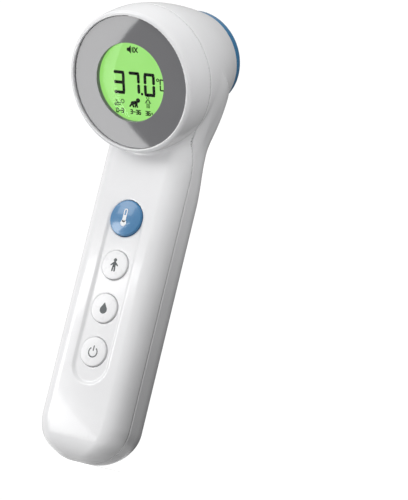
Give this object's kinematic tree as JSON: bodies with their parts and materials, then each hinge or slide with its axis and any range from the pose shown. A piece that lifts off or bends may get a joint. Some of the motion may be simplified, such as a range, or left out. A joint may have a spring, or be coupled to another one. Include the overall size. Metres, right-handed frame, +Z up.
{
  "type": "no-touch forehead thermometer",
  "caption": "Upright handheld infrared thermometer: round display head tilted forward on a slim handle with a row of round keys, sensor inside a coloured ring at the back.",
  "frame": {"origin": "bottom centre of the bounding box, on the level of the handle's lower end and close to the plane of the handle's front face", "axes": "+Z up along the handle, -Y is the side of the keys and the display, +Y the side of the sensor and the battery door, +X to the right as seen from the front"},
  "size_m": [0.0514, 0.0609, 0.1671],
  "materials": {
    "white_shell": "glossy white moulded shell",
    "white_key": "satin white key cap",
    "blue_key": "glossy mid-blue key cap",
    "blue_ring": "glossy blue ring",
    "display_grey": "high-gloss grey bezel ring",
    "clear_lens": "clear display window",
    "lit_display": "green backlit liquid crystal display",
    "light_plastic": "light grey moulded inner part",
    "sensor_metal": "machined aluminium",
    "plated_steel": "nickel-plated steel",
    "circuit_board": "green solder mask",
    "dark_part": "black moulded electronic part",
    "dark_rubber": "conductive rubber strip",
    "flexible_circuit": "amber polyimide film",
    "cell_jacket": null
  },
  "bodies": {
    "casing": {"front_housing": "white_shell", "rear_housing": "white_shell", "display_ring": "display_grey", "display_lens": "clear_lens", "lcd_panel": "lit_display", "light_guide": "clear_lens", "lcd_connector": "dark_rubber", "lcd_holder": "light_plastic", "display_board": "circuit_board", "display_screw_1": "plated_steel", "display_screw_2": "plated_steel", "display_screw_3": "plated_steel", "contact_ring": "blue_ring", "sensor_cup": "light_plastic", "sensor_block": "sensor_metal", "thermopile": "plated_steel", "infrared_filter": "dark_part", "sensor_board": "circuit_board", "sensor_screw_1": "plated_steel", "sensor_screw_2": "plated_steel", "sensor_flex": "flexible_circuit", "display_flex": "flexible_circuit", "main_board": "circuit_board", "controller_chip": "dark_part", "memory_chip": "dark_part", "clock_crystal": "plated_steel", "power_capacitor": "sensor_metal", "buzzer": "dark_part", "board_screw_1": "plated_steel", "board_screw_2": "plated_steel", "case_screw_1": "plated_steel", "case_screw_2": "plated_steel", "battery_tray": "light_plastic", "battery_cell_1": "cell_jacket", "battery_cell_2": "cell_jacket", "cell_spring_1": "plated_steel", "cell_spring_2": "plated_steel", "bridge_plate": "plated_steel", "positive_plate": "plated_steel", "negative_plate": "plated_steel", "measure_switch": "plated_steel", "age_switch": "plated_steel", "mode_switch": "plated_steel", "power_switch": "plated_steel"},
    "door": {"battery_door": "white_shell"},
    "measure_key": {"measure_button": "blue_key", "measure_plunger": "dark_part"},
    "age_key": {"age_button": "white_key", "age_plunger": "dark_part"},
    "mode_key": {"mode_button": "white_key", "mode_plunger": "dark_part"},
    "power_key": {"power_button": "white_key", "power_plunger": "dark_part"}
  },
  "joints": [
    {"name": "door_slide", "type": "slide", "parent": "casing", "child": "door", "axis": [0, 0, -1], "range_m": [0, 0.074]},
    {"name": "measure_press", "type": "slide", "parent": "casing", "child": "measure_key", "axis": [0, 1, 0], "range_m": [0, 0.0006], "stiffness_N_per_m": 1500, "springref_m": -0.0004},
    {"name": "age_press", "type": "slide", "parent": "casing", "child": "age_key", "axis": [0, 1, 0], "range_m": [0, 0.0006], "stiffness_N_per_m": 1500, "springref_m": -0.0004},
    {"name": "mode_press", "type": "slide", "parent": "casing", "child": "mode_key", "axis": [0, 1, 0], "range_m": [0, 0.0006], "stiffness_N_per_m": 1500, "springref_m": -0.0004},
    {"name": "power_press", "type": "slide", "parent": "casing", "child": "power_key", "axis": [0, 1, 0], "range_m": [0, 0.0006], "stiffness_N_per_m": 1500, "springref_m": -0.0004}
  ]
}
